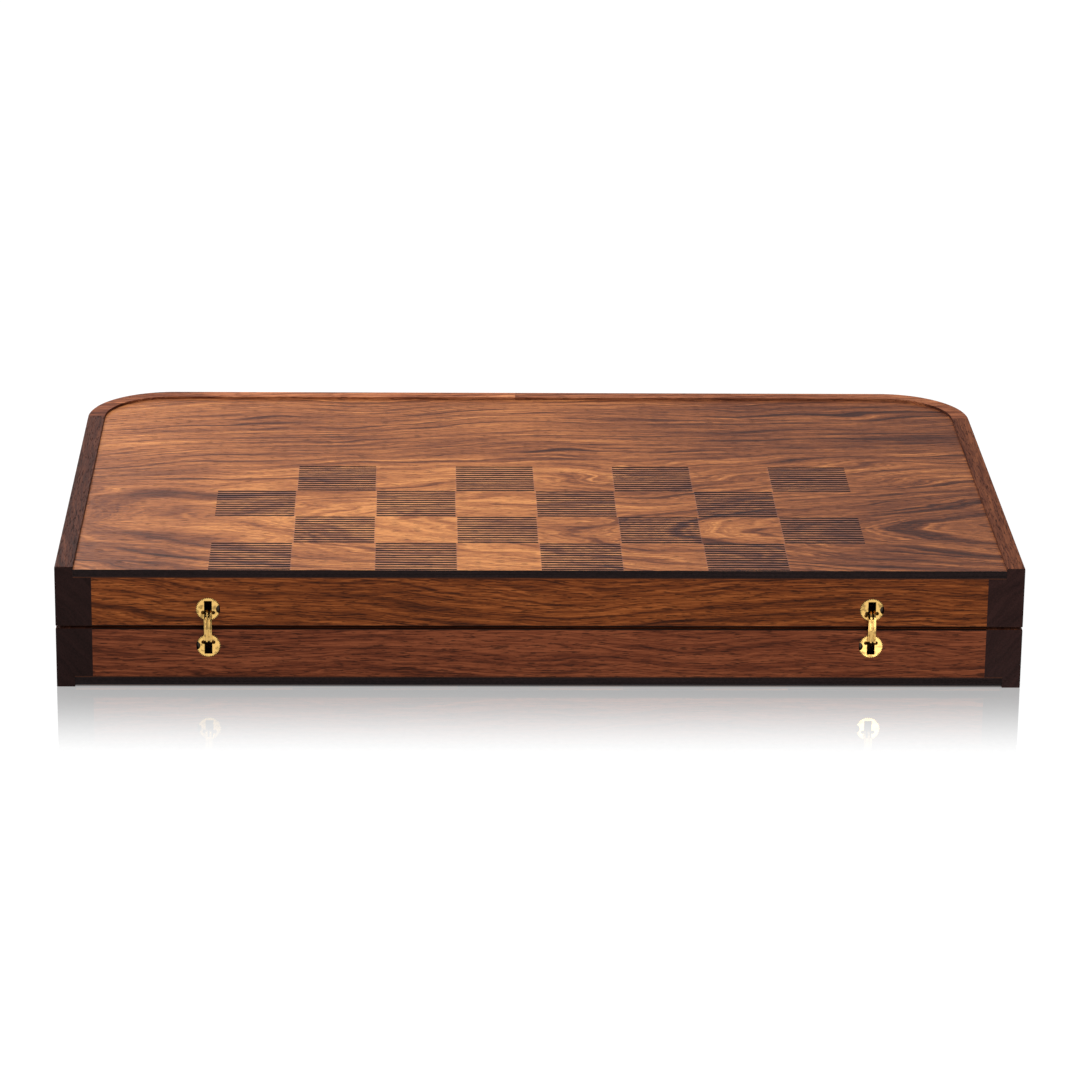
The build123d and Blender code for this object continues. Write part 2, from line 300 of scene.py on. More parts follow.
def row_pattern():
    """Turned discs in a row, each turned about its own axis by a fixed random angle."""
    pattern = Pattern("checker_row", {
        "Disc": "NodeSocketObject", "Count": "NodeSocketInt", "Pitch": "NodeSocketFloat",
        "Seed": "NodeSocketInt", "Material": "NodeSocketMaterial"})
    pitch = pattern.given("Pitch")
    count = pattern.given("Count")
    line = pattern.node("GeometryNodeMeshLine", {"mode": "OFFSET"}, {
        "Count": count, "Start Location": pattern.join((count - 1) * pitch * -0.5, 0.0, 0.0),
        "Offset": pattern.join(pitch, 0.0, 0.0)})
    disc = pattern.node("GeometryNodeObjectInfo", None, {"Object": pattern.given("Disc")},
                        output="Geometry")
    turn = pattern.node("FunctionNodeRandomValue", {"data_type": "FLOAT"},
                        {2: 0.0, 3: math.tau, "Seed": pattern.given("Seed")}, output=1)
    row = pattern.node("GeometryNodeInstanceOnPoints", None, {
        "Points": line, "Instance": disc, "Rotation": pattern.join(0.0, 0.0, turn)})
    rows = pattern.node("GeometryNodeInstanceOnPoints", None,
                        {"Points": pattern.given("Geometry"), "Instance": row})
    pattern.finish(rows)
    return pattern


def pip_pattern():
    """Inked discs that face the way of each point's own direction."""
    pattern = Pattern("die_pips", {
        "Radius": "NodeSocketFloat", "Depth": "NodeSocketFloat",
        "Material": "NodeSocketMaterial"})
    disc = pattern.node("GeometryNodeMeshCylinder", None, {
        "Vertices": 24, "Radius": pattern.given("Radius"), "Depth": pattern.given("Depth")})
    facing = pattern.node("GeometryNodeInputNamedAttribute", {"data_type": "FLOAT_VECTOR"},
                          {"Name": "facing"})
    turn = pattern.node("FunctionNodeAlignRotationToVector", {"axis": "Z"}, {"Vector": facing})
    pips = pattern.node("GeometryNodeInstanceOnPoints", None, {
        "Points": pattern.given("Geometry"), "Instance": disc, "Rotation": turn})
    pattern.finish(pips)
    return pattern


# ---------------------------------------------------------------- finishes


def walnut(name, tones, along="X", heart=(0.0, 0.1), tilt=0.08, ring=0.0055, figure=1.0,
           end_tone=None, end_axis=None, seed=0.0, gloss=0.45, sheen=0.05,
           engraving=None, fine=1.0, drift=None, painted_gap_shade=False):
    """Walnut cut from a trunk whose axis runs near the piece.

    tones go from the dark ring to the lightest wood. heart is how far across the piece and how
    far below it the trunk's axis runs, and tilt is how fast the axis drops away along the grain.
    fine narrows the streaks, and drift adds a slow change of lightness over the piece.
    """
    finish = Finish(name, {"Coat Weight": 0.04, "Coat Roughness": 0.25,
                           "Specular IOR Level": sheen})
    x, y, z = finish.split(finish.place())
    grain, across = (x, y) if along == "X" else (y, x)
    lengthwise = grain + seed
    sway = finish.noise((lengthwise * 4.0, across * 8.0 + seed, z * 8.0), 2.0)
    ripple = finish.noise((lengthwise * 18.0, across * 80.0, z * 80.0 + seed), 3.0)
    wander = finish.noise((lengthwise * 11.0, across * 26.0, z * 26.0), 2.0)
    offset = across - heart[0] + ((sway - 0.5) * 0.06 + (wander - 0.5) * 0.022) * figure
    depth = grain * tilt + z * 0.8 + heart[1] + (sway - 0.5) * 0.045 * figure
    radius = (offset * offset + depth * depth) ** 0.5 + (ripple - 0.5) * 0.006
    rings = finish.math("FRACT", radius / ring)
    late = finish.rise(rings, 0.45, 0.88) * finish.rise(rings, 0.9, 1.0, 1.0, 0.0)
    # Broken late wood is the darkest, and streaks, lines, fibres and patches vary the rest.
    broken = finish.noise((lengthwise * 12.0, radius * 150.0, seed), 3.0, 0.6)
    streak = finish.noise((lengthwise * 10.0, radius * (500.0 * fine), seed), 4.0, 0.65)
    line = finish.noise((lengthwise * 16.0, radius * 1500.0, seed), 2.0, 0.6)
    fibre = finish.noise((lengthwise * 60.0, across * 1500.0, z * 1500.0), 3.0, 0.7)
    patch = finish.noise((lengthwise * 6.0, across * 20.0, z * 20.0), 3.0)
    lightness = (0.64 - late * finish.rise(broken, 0.38, 0.7, 0.06, 0.46) * figure
                 + (streak - 0.5) * 0.85 + (line - 0.5) * 0.9 + (fibre - 0.5) * 1.1
                 + (patch - 0.5) * 0.62)
    if drift:
        lightness = lightness + drift(finish, x, y)
    colour = finish.ramp(lightness, [(0.08, tones[0]), (0.34, tones[1]),
                                     (0.62, tones[2]), (0.92, tones[3])])
    # Pores are short dark dashes along the grain.
    narrow = 1700.0 * fine ** 0.5
    dash = finish.noise((lengthwise * 170.0, across * narrow, z * narrow), 2.0)
    pore = finish.rise(dash, 0.56, 0.64)
    colour = finish.blend(pore * 0.68, colour, tones[0])
    height = fibre * 0.5 - pore
    rough = gloss + (fibre - 0.5) * 0.2 + pore * 0.2
    if end_tone:
        end, tone = end_grain(finish, (x, y, z), radius, end_axis or along, end_tone)
        colour = finish.blend(end, colour, tone)
        rough = rough + end * 0.15
    # Painted shade: the gap between the two halves and its rounded front edges are painted nearly
    # black.
    if painted_gap_shade:
        colour = finish.blend(parting_gap_shade(finish, y, z) * 0.95, colour, shade(12, 6, 5))
    if engraving:
        smoke = engraved_squares(finish, x, y, engraving) * 0.14
        colour = finish.blend(smoke, colour, shade(112, 98, 104))
        burnt = finish.rise((engraving.face - z) * engraving.down, 0.08 * MM, 0.16 * MM)
        colour = finish.blend(burnt, colour, engraving.tone)
        rough = rough + burnt * 0.3
    finish.set("Base Color", colour)
    finish.set("Roughness", rough)
    finish.bump(height, 0.00008, 0.5)
    return finish


def end_grain(finish, place, radius, axis, tone):
    """How far a surface faces along axis, and the speckled colour of its cut fibres."""
    x, y, z = place
    facing = dict(zip("XYZ", finish.split(finish.facing())))[axis]
    end = finish.rise(finish.math("ABSOLUTE", facing), 0.55, 0.8)
    speck = finish.noise((x * 1300.0, y * 1300.0, z * 1300.0), 3.0)
    arcs = finish.noise((x * 60.0, y * 60.0, radius * 500.0), 2.0)
    dark = tuple(channel * 0.4 for channel in tone)
    return end, finish.ramp(speck * 0.5 + arcs * 0.5, [(0.3, dark), (0.62, tone)])


def parting_gap_shade(finish, y, z):
    """1 along the front edges where the two halves meet, 0 elsewhere: the mask of the painted shade
    in the gap between them.
    """
    from_parting = finish.math("ABSOLUTE", z - MIDDLE)
    return (finish.rise(from_parting, 1.0 * MM, 1.4 * MM, 1.0, 0.0)
            * finish.rise(y, FRONT + 0.8 * MM, FRONT + 1.6 * MM, 1.0, 0.0))


# The engraved half board of one veneer: the height of its face, 1 if the grooves go down from
# there or -1 if they go up, the burnt tone, a square's side, and 0 or 1 for the column of the
# first engraved square.
Engraving = namedtuple("Engraving", "face down tone square first")


def engraved_squares(finish, x, y, engraving):
    """1 on the engraved squares, 0 elsewhere."""
    square, first = engraving.square, engraving.first
    side = 4 * square
    cell = finish.math("FLOOR", x / square) + finish.math("FLOOR", (y - FRONT) / square) + first
    odd = finish.math("FRACT", cell * 0.5) * 2.0
    inside = (finish.rise(finish.math("ABSOLUTE", x), side - MM, side, 1.0, 0.0)
              * finish.rise(y, FRONT + side - MM, FRONT + side, 1.0, 0.0))
    return (1.0 - odd) * inside


def board_drift(finish, x, y):
    """A paler middle under the engraved board, and a darker right end."""
    front = finish.rise(y, FRONT + 0.15, FRONT + 0.19, 1.0, 0.0)
    pale = finish.rise(x, -0.19, -0.15, -0.07, 0.17) - finish.rise(x, 0.1, 0.2, 0.0, 0.05)
    rear = finish.rise(x, -0.2, -0.05, 0.1, 0.0)
    return front * pale + (1.0 - front) * rear - 0.09 - finish.rise(x, -0.02, 0.2) * 0.22


def rail_painted_light(finish, x, y):
    """Paler towards the right: painted light, as from a lamp at the right front."""
    return finish.rise(x, -0.15, 0.15, 0.02, 0.12)


def corner_drift(finish, x, y):
    """Darker wood where the left corner piece meets its side rail."""
    return finish.rise(x, -SIDE, -SIDE + 0.11, -0.34, 0.0)


def black_board():
    """Dyed fibreboard: nearly black, with pressed layers and a sawn edge."""
    finish = Finish("black_board", {"Specular IOR Level": 0.06})
    x, y, z = finish.split(finish.place())
    flecks = finish.noise((x * 900.0, y * 900.0, z * 2600.0), 3.0)
    layers = finish.noise((x * 12.0, y * 12.0, z * 1500.0), 2.0)
    colour = finish.ramp(flecks * 0.6 + layers * 0.4,
                         [(0.35, shade(18, 12, 12)), (0.7, shade(42, 31, 31))])
    finish.set("Base Color", colour)
    finish.set("Roughness", 0.62 + flecks * 0.2)
    finish.bump(flecks, 0.0001, 0.4)
    return finish


def gold(name, tone, roughness, turned):
    """Polished brass with fine tool marks; turned makes the marks denser."""
    finish = Finish(name, {"Metallic": 1.0})
    x, y, z = finish.split(finish.place())
    marks = finish.noise((x * 2600.0 * turned, y * 500.0, z * 2600.0 * turned), 3.0)
    film = finish.noise((x * 450.0, y * 450.0, z * 450.0), 2.0)
    dull = tuple(channel * 0.45 for channel in tone)
    colour = finish.blend(finish.rise(film, 0.5, 0.7), tone, dull)
    # Painted shade: brass darkens from 0.6 mm behind the front face to nearly black by 2.2 mm, down
    # in the hinge slots.
    slot_shade = finish.rise(y, FRONT + 0.6 * MM, FRONT + 2.2 * MM)
    finish.colour = finish.blend(slot_shade, colour, (0.03, 0.016, 0.006))
    finish.set("Roughness", roughness + marks * 0.12)
    finish.bump(marks, 0.00002, 0.35)
    return finish


def knurled_gold(name, tone, centre, knurls):
    """Brass barrel whose round rim carries teeth painted as dark gaps of painted shade. centre is
    the barrel's axis, as (x, z).
    """
    finish = gold(name, tone, 0.16, 1.0)
    x, y, z = finish.split(finish.place())
    across, up = x - centre[0], z - centre[1]
    radius = (across * across + up * up) ** 0.5
    teeth = finish.math("SINE", finish.math("ARCTAN2", up, across) * knurls)
    rim = finish.rise(radius, 5.3 * MM, 5.6 * MM)
    # Painted shade: the gaps between the rim's teeth are painted dark; the rim itself stays round.
    tooth_shade = rim * finish.rise(teeth, -0.2, 0.5)
    finish.set("Base Color", finish.blend(tooth_shade, finish.colour, (0.05, 0.025, 0.008)))
    return finish


def plated_gold(name, tone, centre, pitch):
    """Brass link plates side by side across centre, with a dark line of painted shade between each
    two.
    """
    finish = gold(name, tone, 0.12, 0.4)
    x, y, z = finish.split(finish.place())
    place = finish.math("FRACT", (x - centre) / pitch)
    # Painted shade: the narrow gaps between the plates are painted dark.
    plate_gap_shade = finish.rise(finish.math("ABSOLUTE", place - 0.5), 0.36, 0.47)
    finish.set("Base Color", finish.blend(plate_gap_shade, finish.colour, (0.06, 0.03, 0.01)))
    return finish


def steel(name, tone, roughness):
    """Plain turned steel with fine marks."""
    finish = Finish(name, {"Metallic": 1.0})
    x, y, z = finish.split(finish.place())
    marks = finish.noise((x * 2400.0, y * 2400.0, z * 700.0), 3.0)
    finish.set("Base Color", finish.blend(marks, tone, tuple(c * 0.7 for c in tone)))
    finish.set("Roughness", roughness + marks * 0.15)
    finish.bump(marks, 0.00002, 0.3)
    return finish


def resin(name, tone, swirl_tone):
    """Polished cast resin with a cloudy swirl under the surface."""
    finish = Finish(name, {"Coat Weight": 0.4, "Coat Roughness": 0.08})
    x, y, z = finish.split(finish.place())
    sway = finish.noise((x * 60.0, y * 60.0, z * 60.0), 3.0)
    swirl = finish.noise((x * 120.0 + sway * 3.0, y * 120.0, z * 260.0), 4.0)
    finish.set("Base Color", finish.blend(finish.rise(swirl, 0.4, 0.68), tone, swirl_tone))
    finish.set("Roughness", 0.2 + swirl * 0.15)
    finish.bump(swirl, 0.00002, 0.15)
    return finish


def burnt_wood(tone):
    """Charred walnut at the bottom of the engraved grooves."""
    finish = Finish("burnt_walnut", {"Specular IOR Level": 0.15})
    x, y, z = finish.split(finish.place())
    fibre = finish.noise((x * 60.0, y * 1200.0, z * 1200.0), 4.0, 0.6)
    patch = finish.noise((x * 25.0, y * 60.0, z * 60.0), 2.0)
    colour = finish.ramp(fibre * 0.6 + patch * 0.4, [(0.3, tone),
                                                     (0.7, tuple(c * 2.6 for c in tone))])
    finish.set("Base Color", colour)
    finish.set("Roughness", 0.75 + fibre * 0.15)
    finish.bump(fibre, 0.00008, 0.5)
    return finish.material


def paint(name, tone):
    """Matt ink, slightly uneven."""
    finish = Finish(name, {"Specular IOR Level": 0.3})
    x, y, z = finish.split(finish.place())
    grain = finish.noise((x * 1500.0, y * 1500.0, z * 1500.0), 2.0)
    finish.set("Base Color", finish.blend(grain, tone, tuple(c * 0.75 + 0.01 for c in tone)))
    finish.set("Roughness", 0.5 + grain * 0.2)
    return finish


def case_finishes(case):
    """Every finish of the two wooden halves, by name."""
    def tones(*colours):
        return [tuple(c * tint for c, tint in zip(shade(*colour), case.tint))
                for colour in colours]

    veneer = tones((52, 24, 18), (102, 54, 32), (154, 92, 52), (200, 132, 76))
    edge = shade(40, 26, 22)
    burnt = tuple(case.burnt)
    left_end = tuple(case.end_grain)
    # Painted light: the right side rail's end grain is the left one made lighter, as if lit from
    # the right front.
    lit_right_end = tuple(channel * 1.5 for channel in left_end)
    corner_end = shade(80, 42, 30)
    return {
        "upper_veneer": walnut("upper_walnut_veneer", veneer, heart=(FRONT + 0.07, 0.055),
                               tilt=-0.1, ring=0.0068, figure=0.85, seed=0.37, gloss=0.42,
                               sheen=0.16, end_tone=edge, end_axis="Y", drift=board_drift,
                               engraving=Engraving(UPPER_FACE, 1, burnt, case.square, 0)),
        "lower_veneer": walnut("lower_walnut_veneer", veneer, heart=(FRONT + 0.09, 0.12),
                               tilt=0.06, ring=0.0062, seed=2.1, gloss=0.42, sheen=0.16,
                               end_tone=edge, end_axis="Y",
                               engraving=Engraving(LOWER_FACE, -1, burnt, case.square, 1)),
        "upper_rail": walnut("upper_front_rail", tones((30, 12, 6), (70, 32, 13), (112, 55, 22),
                                                       (150, 82, 38)),
                             heart=(FRONT - 0.09, 0.1), tilt=0.012, ring=0.005, figure=0.55,
                             seed=4.4, gloss=0.5, fine=1.7, painted_gap_shade=True, end_tone=left_end),
        "lower_rail": walnut("lower_front_rail", tones((26, 11, 7), (64, 28, 15), (100, 48, 27),
                                                       (132, 70, 42)),
                             heart=(FRONT - 0.1, 0.12), tilt=0.014, ring=0.006, figure=0.5,
                             seed=6.8, gloss=0.5, fine=1.7, drift=rail_painted_light, painted_gap_shade=True,
                             end_tone=left_end),
        "left_side": walnut("left_side_rail", tones((25, 11, 8), (46, 22, 16), (66, 35, 26),
                                                    (91, 52, 37)),
                            along="Y", heart=(-0.33, 0.1), tilt=0.02, figure=0.4, seed=8.2,
                            gloss=0.55, end_tone=left_end),
        "right_side": walnut("right_side_rail", tones((34, 15, 11), (62, 31, 22), (89, 49, 33),
                                                      (116, 68, 45)),
                             along="Y", heart=(0.34, 0.1), tilt=0.02, figure=0.4, seed=9.6,
                             gloss=0.55, end_tone=lit_right_end),
        "left_corner": walnut("left_corner_piece", tones((68, 32, 22), (119, 67, 44),
                                                         (168, 103, 68), (208, 140, 95)),
                              heart=(BACK + 0.06, 0.09), tilt=0.03, figure=0.5, seed=11.3,
                              gloss=0.5, drift=corner_drift, end_tone=corner_end),
        "right_corner": walnut("right_corner_piece", tones((54, 27, 19), (97, 53, 36),
                                                           (136, 80, 54), (170, 108, 73)),
                               heart=(BACK + 0.07, 0.09), tilt=0.03, figure=0.5, seed=13.7,
                               gloss=0.5, end_tone=corner_end),
        "field": walnut("playing_field_veneer", tones((128, 90, 58), (160, 118, 78),
                                                      (186, 144, 100), (206, 168, 124)),
                        heart=(0.0, 0.3), tilt=0.02, ring=0.009, figure=0.35, seed=15.1,
                        end_tone=shade(70, 38, 24), end_axis="Y"),
        "light_point": walnut("maple_points", tones((176, 140, 96), (202, 168, 122),
                                                    (220, 190, 146), (232, 206, 166)),
                              heart=(0.1, 0.4), tilt=0.02, ring=0.012, figure=0.25, seed=17.9),
        "dark_point": walnut("dark_walnut_points", tones((30, 16, 12), (48, 27, 19),
                                                         (70, 40, 28), (94, 56, 38)),
                             heart=(0.1, 0.3), tilt=0.02, ring=0.007, figure=0.5, seed=19.2),
    }


# ---------------------------------------------------------------- settings


def colour_property(name, description, colour):
    return bpy.props.FloatVectorProperty(
        name=name, description=description, subtype="COLOR", size=3, min=0.0, max=1.0,
        default=colour)


class CaseSettings(bpy.types.PropertyGroup):
    square: bpy.props.FloatProperty(
        name="Square", description="Side of one square of the engraved board",
        default=41.2 * MM, unit="LENGTH")
    square_inset: bpy.props.FloatProperty(
        name="Square Inset", description="From a square's edge to its first groove",
        default=0.4 * MM, unit="LENGTH")
    grooves: bpy.props.IntProperty(
        name="Grooves", description="Grooves in each dark square", default=12)
    groove_width: bpy.props.FloatProperty(
        name="Groove Width", description="Width of an engraved groove",
        default=1.75 * MM, unit="LENGTH")
    groove_depth: bpy.props.FloatProperty(
        name="Groove Depth", description="Depth of an engraved groove",
        default=0.3 * MM, unit="LENGTH")
    tint: colour_property("Wood Tint", "Multiplies every wood tone of the case", (1.0, 1.0, 1.0))
    burnt: colour_property("Burnt Wood", "Colour of the engraved grooves", shade(15, 11, 13))
    end_grain: colour_property("End Grain", "Colour of the side rails' ends", shade(38, 21, 19))


class HingeSettings(bpy.types.PropertyGroup):
    brass: colour_property("Brass", "Colour of the barrels and link plates", (0.82, 0.51, 0.16))
    pin_brass: colour_property("Pin Brass", "Colour of the pivot pins and rivets", (0.5, 0.31, 0.1))
    knurls: bpy.props.IntProperty(
        name="Knurls", description="Teeth around the rim of a barrel", default=40)
    plate_pitch: bpy.props.FloatProperty(
        name="Plate Pitch", description="From one link plate to the next", default=0.95 * MM,
        unit="LENGTH")


class CheckerSettings(bpy.types.PropertyGroup):
    radius: bpy.props.FloatProperty(
        name="Checker Radius", description="Outer radius of a checker", default=18.0 * MM,
        unit="LENGTH")
    thickness: bpy.props.FloatProperty(
        name="Checker Thickness", description="Thickness of a checker", default=9.0 * MM,
        unit="LENGTH")
    light: colour_property("Light Checkers", "Wood of the light checkers", shade(212, 174, 126))
    dark: colour_property("Dark Checkers", "Wood of the dark checkers", shade(74, 40, 27))


class DiceSettings(bpy.types.PropertyGroup):
    size: bpy.props.FloatProperty(
        name="Die Size", description="Side of a die", default=14.0 * MM, unit="LENGTH")
    pip_radius: bpy.props.FloatProperty(
        name="Pip Radius", description="Radius of a drilled pip", default=1.25 * MM,
        unit="LENGTH")
    pip_depth: bpy.props.FloatProperty(
        name="Pip Depth", description="Depth of a drilled pip", default=0.6 * MM,
        unit="LENGTH")
    pip_step: bpy.props.FloatProperty(
        name="Pip Step", description="From the middle pip to the outer ones",
        default=3.64 * MM, unit="LENGTH")
    light: colour_property("Light Dice", "Colour of the light dice", shade(226, 216, 192))
    dark: colour_property("Dark Dice", "Colour of the dark dice", shade(58, 30, 20))
    cube: colour_property("Doubling Cube", "Colour of the doubling cube", shade(232, 222, 198))
    number: colour_property("Numbers", "Colour of the doubling cube's numbers", shade(96, 22, 18))


class StageSettings(bpy.types.PropertyGroup):
    camera_distance: bpy.props.FloatProperty(
        name="Camera Distance", description="From the middle of the front face's foot",
        default=2.117, unit="LENGTH")
    camera_height: bpy.props.FloatProperty(
        name="Camera Height", description="Above the floor", default=0.8099, unit="LENGTH")
    camera_side: bpy.props.FloatProperty(
        name="Camera Side", description="To the right of the middle", default=-0.0636,
        unit="LENGTH")
    camera_pitch: bpy.props.FloatProperty(
        name="Camera Pitch", description="How far the camera looks down",
        default=math.radians(19.07), subtype="ANGLE")
    camera_turn: bpy.props.FloatProperty(
        name="Camera Turn", description="How far the camera looks to the right",
        default=math.radians(1.70), subtype="ANGLE")
    camera_roll: bpy.props.FloatProperty(
        name="Camera Roll", description="Turn about the line of sight",
        default=math.radians(0.68), subtype="ANGLE")
    floor_size: bpy.props.FloatProperty(
        name="Floor Size", description="Side of the square floor", default=8.0, unit="LENGTH")
    sky_light: bpy.props.FloatProperty(
        name="Sky Light", description="How strongly the white surroundings light the case",
        default=0.36)
    lens: bpy.props.FloatProperty(
        name="Lens", description="Focal length in millimetres on a 36 mm sensor", default=151.57)


# ---------------------------------------------------------------- operators


class BACKGAMMON_OT_case(bpy.types.Operator):
    """Finish the walls, panels, playing fields and magnets of both halves"""

    bl_idname = "backgammon.case"
    bl_label = "Finish Case"

    def execute(self, context):
        finishes = case_finishes(context.scene.backgammon_case)
        board = black_board()
        plated = steel("plated_magnets", shade(196, 194, 190), 0.22)
        for half in HALVES:
            finishes[f"{half}_veneer"].assign(f"{half}_outer_veneer")
            finishes[f"{half}_rail"].assign(f"{half}_hinge_rail")
            finishes["left_side"].assign(f"{half}_side_rail_left")
            finishes["right_side"].assign(f"{half}_side_rail_right")
            finishes["left_corner"].assign(f"{half}_corner_left")
            finishes["right_corner"].assign(f"{half}_corner_right")
            finishes["field"].assign(f"{half}_field_veneer")
            finishes["light_point"].assign(f"{half}_points_light")
            finishes["dark_point"].assign(f"{half}_points_dark")
            board.assign(f"{half}_panel_core")
            plated.assign(f"{half}_magnets")
        return {"FINISHED"}


class BACKGAMMON_OT_hinges(bpy.types.Operator):
    """Finish the barrels, links, pins and screws of both hinges"""

    bl_idname = "backgammon.hinges"
    bl_label = "Finish Hinges"

    def execute(self, context):
        hinges = context.scene.backgammon_hinges
        tone = tuple(hinges.brass)
        pin = gold("brass_pins", tuple(hinges.pin_brass), 0.2, 2.0)
        pin.set("Base Color", pin.colour)
        screw = steel("dark_steel_screw", shade(70, 62, 54), 0.35)
        for side in SIDES:
            low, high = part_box(f"{side}_upper_links")
            plates = plated_gold(f"{side}_gold_link_plates", tone, (low[0] + high[0]) / 2,
                                 hinges.plate_pitch)
            for half in HALVES:
                low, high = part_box(f"{side}_{half}_barrel")
                centre = ((low[0] + high[0]) / 2, (low[2] + high[2]) / 2)
                barrel = knurled_gold(f"{side}_{half}_gold_barrel", tone, centre, hinges.knurls)
                barrel.assign(f"{side}_{half}_barrel")
                plates.assign(f"{side}_{half}_links")
                pin.assign(f"{side}_{half}_pivot_pin")
                screw.assign(f"{side}_{half}_expansion_screw")
            pin.assign(f"{side}_centre_rivet")
        return {"FINISHED"}


LINING_PLAY = 0.1 * MM
LINING_LIFT = 0.01 * MM


def groove_strip(length, width, height):
    """The lining of one groove: flat below, hollow above, and closed at both ends."""
    steps = 8
    profile = [(-width / 2, 0.0)]
    for step in range(steps + 1):
        across = width * (step / steps - 0.5)
        profile.append((across, height * (0.15 + 0.85 * (2 * across / width) ** 4)))
    profile.append((width / 2, 0.0))
    count = len(profile)
    spots = [(side * length / 2, y, z) for side in (-1, 1) for y, z in profile]
    faces = [tuple(range(count)), tuple(reversed(range(count, 2 * count)))]
    for index in range(count):
        after = (index + 1) % count
        faces.append((index, index + count, after + count, after))
    mesh = bpy.data.meshes.new("groove_strip")
    mesh.from_pydata(spots, [], faces)
    face_outwards(mesh)
    return mesh


def face_outwards(mesh):
    """Recalculate a closed mesh's normals so that they point out."""
    shape = bmesh.new()
    shape.from_mesh(mesh)
    bmesh.ops.recalc_face_normals(shape, faces=shape.faces)
    shape.to_mesh(mesh)
    shape.free()


class BACKGAMMON_OT_engraving(bpy.types.Operator):
    """Line the grooves of the engraved squares with burnt wood"""

    bl_idname = "backgammon.engraving"
    bl_label = "Line Grooves"

    def execute(self, context):
        case = context.scene.backgammon_case
        char = burnt_wood(case.burnt)
        span = case.square - 2 * case.square_inset
        pitch = (span - case.groove_width) / (case.grooves - 1)
        strip = bpy.data.objects.new("strip", groove_strip(
            span - LINING_PLAY, case.groove_width - LINING_PLAY, case.groove_depth * 0.6))
        pattern = engraving_pattern()
        for half, face, down, first in (("upper", UPPER_FACE, 1, 0), ("lower", LOWER_FACE, -1, 1)):
            floor = face - down * case.groove_depth
            spots = [((column - 3.5) * case.square, FRONT + (row + 0.5) * case.square, 0.0)
                     for row in range(4) for column in range((row + first) % 2, 8, 2)]
            piece = pattern.run(f"{half}_engraved_lining", marks("squares", spots), {
                "Strip": strip, "Grooves": case.grooves, "Pitch": pitch, "Material": char})
            for vertex in piece.data.vertices:
                vertex.co.z = floor + down * (vertex.co.z + LINING_LIFT)
            if down < 0:
                piece.data.flip_normals()
            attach(piece, f"{half}_half")
        bpy.data.objects.remove(strip)
        return {"FINISHED"}


def checker_disc(radius, thickness):
    """One turned checker: a rounded rim, a raised ring and a shallow dish on both faces."""
    half = thickness / 2
    bead = 1.1 * MM
    outline = [(0.0, half - 0.75 * MM), (0.45 * radius, half - 0.7 * MM),
               (0.56 * radius, half - 0.45 * MM), (0.6 * radius, half - 0.15 * MM),
               (0.64 * radius, half - 0.02 * MM), (0.72 * radius, half),
               (0.735 * radius, half - 0.3 * MM), (0.765 * radius, half - 0.3 * MM),
               (0.78 * radius, half)]
    for step in range(7):
        angle = math.pi / 2 * step / 6
        outline.append((radius - bead * (1 - math.sin(angle)), half - bead * (1 - math.cos(angle))))
    outline += [(r, -z) for r, z in reversed(outline)]
    segments = 72
    spots, faces = [], []
    for r, z in outline[1:-1]:
        for step in range(segments):
            angle = math.tau * step / segments
            spots.append((r * math.cos(angle), r * math.sin(angle), z))
    rings = len(outline) - 2
    for ring in range(rings - 1):
        for step in range(segments):
            after = (step + 1) % segments
            low, high = ring * segments, (ring + 1) * segments
            faces.append((low + step, high + step, high + after, low + after))
    spots += [(0.0, 0.0, outline[0][1]), (0.0, 0.0, outline[-1][1])]
    top, bottom, last = len(spots) - 2, len(spots) - 1, (rings - 1) * segments
    for step in range(segments):
        after = (step + 1) % segments
        faces.append((top, step, after))
        faces.append((bottom, last + after, last + step))
    mesh = bpy.data.meshes.new("checker_disc")
    mesh.from_pydata(spots, [], faces)
    face_outwards(mesh)
    mesh.shade_smooth()
    return mesh


def shades_of(colour, *levels):
    """The same colour at several lightnesses."""
    return [tuple(channel * level for channel in colour) for level in levels]


class BACKGAMMON_OT_checkers(bpy.types.Operator):
    """Turn the thirty checkers and set them in their rows"""

    bl_idname = "backgammon.checkers"
    bl_label = "Turn Checkers"

    def execute(self, context):
        checkers = context.scene.backgammon_checkers
        woods = {
            "light": walnut("light_checker_wood", shades_of(checkers.light, 0.36, 0.66, 1.0, 1.34),
                            heart=(0.2, 0.2), ring=0.003, figure=0.5, seed=23.0),
            "dark": walnut("dark_checker_wood", shades_of(checkers.dark, 0.18, 0.46, 1.0, 2.0),
                           heart=(0.2, 0.2), ring=0.003, figure=0.7, seed=27.0),
        }
        disc = bpy.data.objects.new("disc", checker_disc(checkers.radius, checkers.thickness))
        pattern = row_pattern()
        for seed, (colour, index) in enumerate((c, i) for c in woods for i in (1, 2, 3)):
            node = f"{colour}_checkers_{index}"
            low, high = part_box(node)
            middle = [(a + b) / 2 for a, b in zip(low, high)]
            count = 5
            pitch = (high[0] - low[0] - 2 * checkers.radius) / (count - 1)
            piece = pattern.run(f"{colour}_turned_checkers_{index}", marks("row", [middle]), {
                "Disc": disc, "Count": count, "Pitch": pitch, "Seed": seed,
                "Material": woods[colour].material})
            piece.data.shade_smooth()
            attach(piece, node)
            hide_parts(node)
        bpy.data.objects.remove(disc)
        return {"FINISHED"}


INK_PLAY = 0.05 * MM
INK_THICKNESS = 0.08 * MM

# Spots on each face of a die, in steps from its middle. Opposite faces add up to seven.
DIAGONAL = [(-1, -1), (1, 1)]
CORNERS = DIAGONAL + [(-1, 1), (1, -1)]
PIPS = {1: [(0, 0)], 2: DIAGONAL, 3: DIAGONAL + [(0, 0)], 4: CORNERS,
        5: CORNERS + [(0, 0)], 6: CORNERS + [(-1, 0), (1, 0)]}


